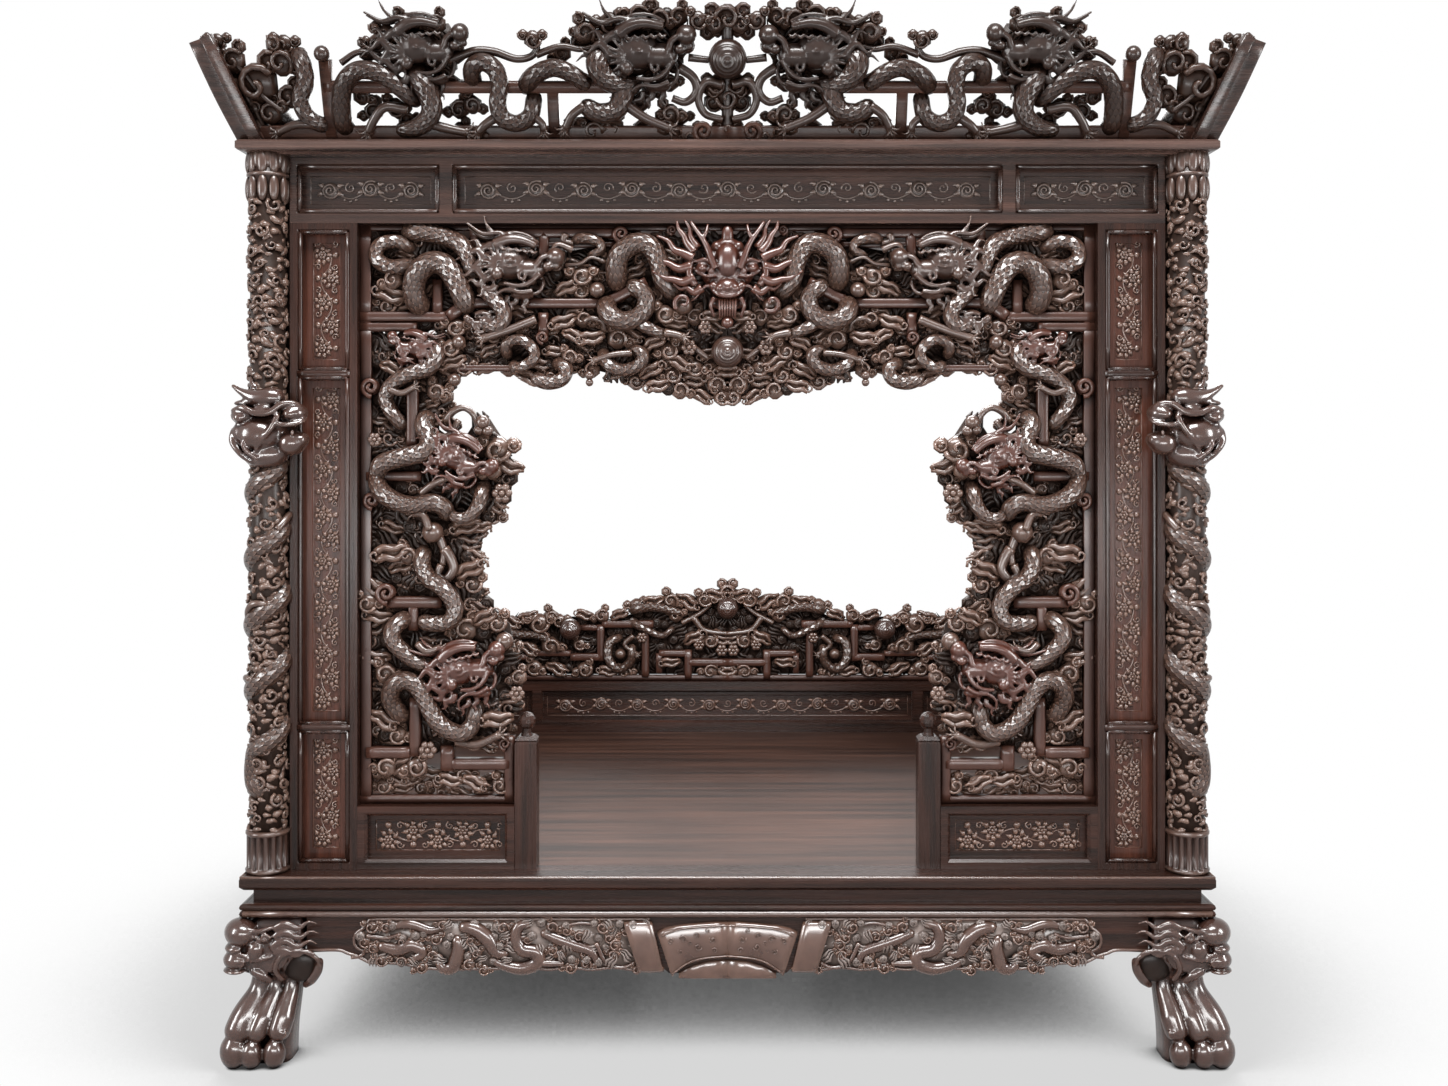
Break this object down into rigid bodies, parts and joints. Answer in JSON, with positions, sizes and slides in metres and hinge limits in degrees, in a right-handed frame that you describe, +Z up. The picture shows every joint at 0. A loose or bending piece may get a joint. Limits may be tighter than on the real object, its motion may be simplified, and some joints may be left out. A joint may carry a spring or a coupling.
{
  "type": "alcove bed",
  "caption": "Carved rosewood canopy bed: boarded platform on paw feet, columns, a pierced dragon front with a doorway, low railings and a flaring carved crown",
  "frame": {"origin": "on the floor, at the middle of the bed's bounding box", "axes": "+X to the viewer's right when facing the doorway, +Y from the doorway to the back, +Z up"},
  "size_m": [2.3478, 1.8434, 2.3603],
  "materials": {
    "polished_rosewood": "dark rosewood, hand polished to a satin gloss",
    "carved_rosewood": "dark rosewood, carved, waxed, with darker recesses",
    "board_rosewood": "rosewood boards with straight grain along the bed, satin"
  },
  "bodies": {
    "root": {"apron_back": "carved_rosewood", "apron_front": "carved_rosewood", "apron_left": "carved_rosewood", "apron_right": "carved_rosewood", "back_carving": "carved_rosewood", "back_panel_left": "carved_rosewood", "back_panel_middle": "carved_rosewood", "back_panel_right": "carved_rosewood", "back_rail_frame": "polished_rosewood", "bearer_left": "polished_rosewood", "bearer_right": "polished_rosewood", "bed_board_back": "board_rosewood", "bed_board_front": "board_rosewood", "canopy_rail_back": "polished_rosewood", "canopy_rail_left": "polished_rosewood", "canopy_rail_right": "polished_rosewood", "ceiling_panel": "board_rosewood", "column_back_left": "polished_rosewood", "column_back_right": "polished_rosewood", "column_front_left": "carved_rosewood", "column_front_right": "carved_rosewood", "cornice_front": "polished_rosewood", "crown_front": "carved_rosewood", "crown_left": "carved_rosewood", "crown_right": "carved_rosewood", "door_frame_left": "polished_rosewood", "door_frame_right": "polished_rosewood", "door_post_left": "polished_rosewood", "door_post_right": "polished_rosewood", "finial_left": "polished_rosewood", "finial_right": "polished_rosewood", "fret_left": "carved_rosewood", "fret_lintel": "carved_rosewood", "fret_right": "carved_rosewood", "frieze_frame": "polished_rosewood", "frieze_panel_left": "carved_rosewood", "frieze_panel_middle": "carved_rosewood", "frieze_panel_right": "carved_rosewood", "leg_back_left": "carved_rosewood", "leg_back_right": "carved_rosewood", "leg_front_left": "carved_rosewood", "leg_front_right": "carved_rosewood", "platform_rail_back": "polished_rosewood", "platform_rail_front": "polished_rosewood", "platform_rail_left": "polished_rosewood", "platform_rail_right": "polished_rosewood", "relief_panel_lower_left": "carved_rosewood", "relief_panel_lower_right": "carved_rosewood", "relief_panel_middle_left": "carved_rosewood", "relief_panel_middle_right": "carved_rosewood", "relief_panel_upper_left": "carved_rosewood", "relief_panel_upper_right": "carved_rosewood", "side_rail_left": "polished_rosewood", "side_rail_right": "polished_rosewood", "skirt_frame_left": "polished_rosewood", "skirt_frame_right": "polished_rosewood", "skirt_panel_left": "carved_rosewood", "skirt_panel_right": "carved_rosewood"}
  },
  "joints": []
}
